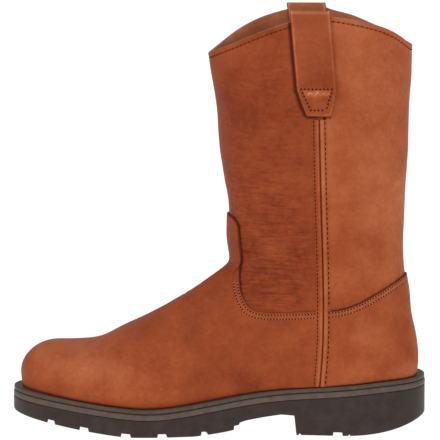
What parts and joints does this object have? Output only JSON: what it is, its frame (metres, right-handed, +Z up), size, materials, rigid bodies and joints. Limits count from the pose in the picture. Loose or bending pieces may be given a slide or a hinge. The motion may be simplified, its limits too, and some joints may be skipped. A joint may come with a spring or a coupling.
{
  "type": "western work boot",
  "caption": "Pull-on western work boot, left foot: brown leather shaft and vamp, pull straps, storm welt and a moulded lug sole with a block heel.",
  "frame": {"origin": "on the floor under the middle of the boot's bounding box", "axes": "+Z up the shaft, -X towards the toe, +Y towards the inner side of the foot"},
  "size_m": [0.305, 0.1057, 0.313],
  "materials": {
    "oiled_leather": "oiled nubuck, soft sheen",
    "strap_leather": "oiled, edges rolled",
    "welt_strip": "matte brown strip",
    "rubber": "matte dark brown",
    "insole_board": "plain tan board"
  },
  "bodies": {
    "root": {"outsole": "rubber", "midsole": "welt_strip", "welt": "welt_strip", "insole": "insole_board", "upper": "oiled_leather", "vamp": "oiled_leather", "counter": "oiled_leather", "side_seam_lateral": "oiled_leather", "side_seam_medial": "oiled_leather", "pull_strap_lateral": "strap_leather", "pull_strap_medial": "strap_leather"}
  },
  "joints": []
}
